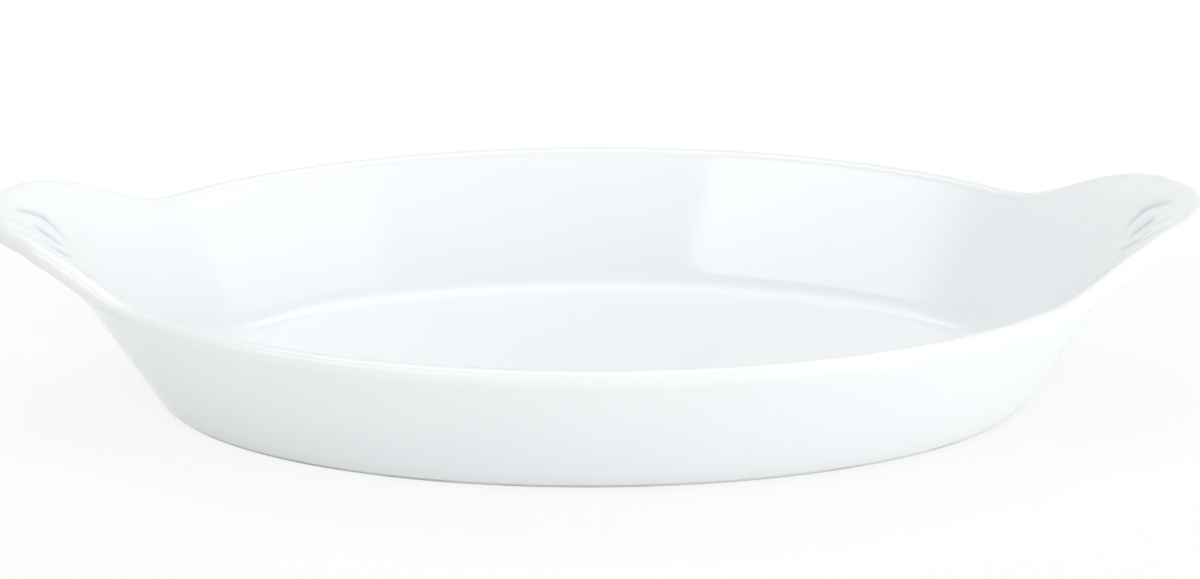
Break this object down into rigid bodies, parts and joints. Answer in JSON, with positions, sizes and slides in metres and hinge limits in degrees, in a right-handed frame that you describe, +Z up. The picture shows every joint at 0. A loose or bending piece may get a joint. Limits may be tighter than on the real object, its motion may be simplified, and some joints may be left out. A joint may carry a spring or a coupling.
{
  "type": "oval gratin dish",
  "caption": "Oval eared gratin dish of white glazed ceramic: a shallow open bowl with a flared wall, a fluted lifting ear at each end and a bare foot ring.",
  "frame": {"origin": "on the table, under the middle of the dish", "axes": "+X along the dish towards one ear, +Y across it, +Z up out of its open top"},
  "size_m": [0.2794, 0.1548, 0.0467],
  "materials": {
    "fired_clay": "matte",
    "bare_foot": "matte",
    "white_glaze": "gloss"
  },
  "bodies": {
    "root": {"dish_bowl": "fired_clay", "left_ear": "fired_clay", "right_ear": "fired_clay", "foot_ring": "bare_foot", "glaze_coat": "white_glaze"}
  },
  "joints": []
}
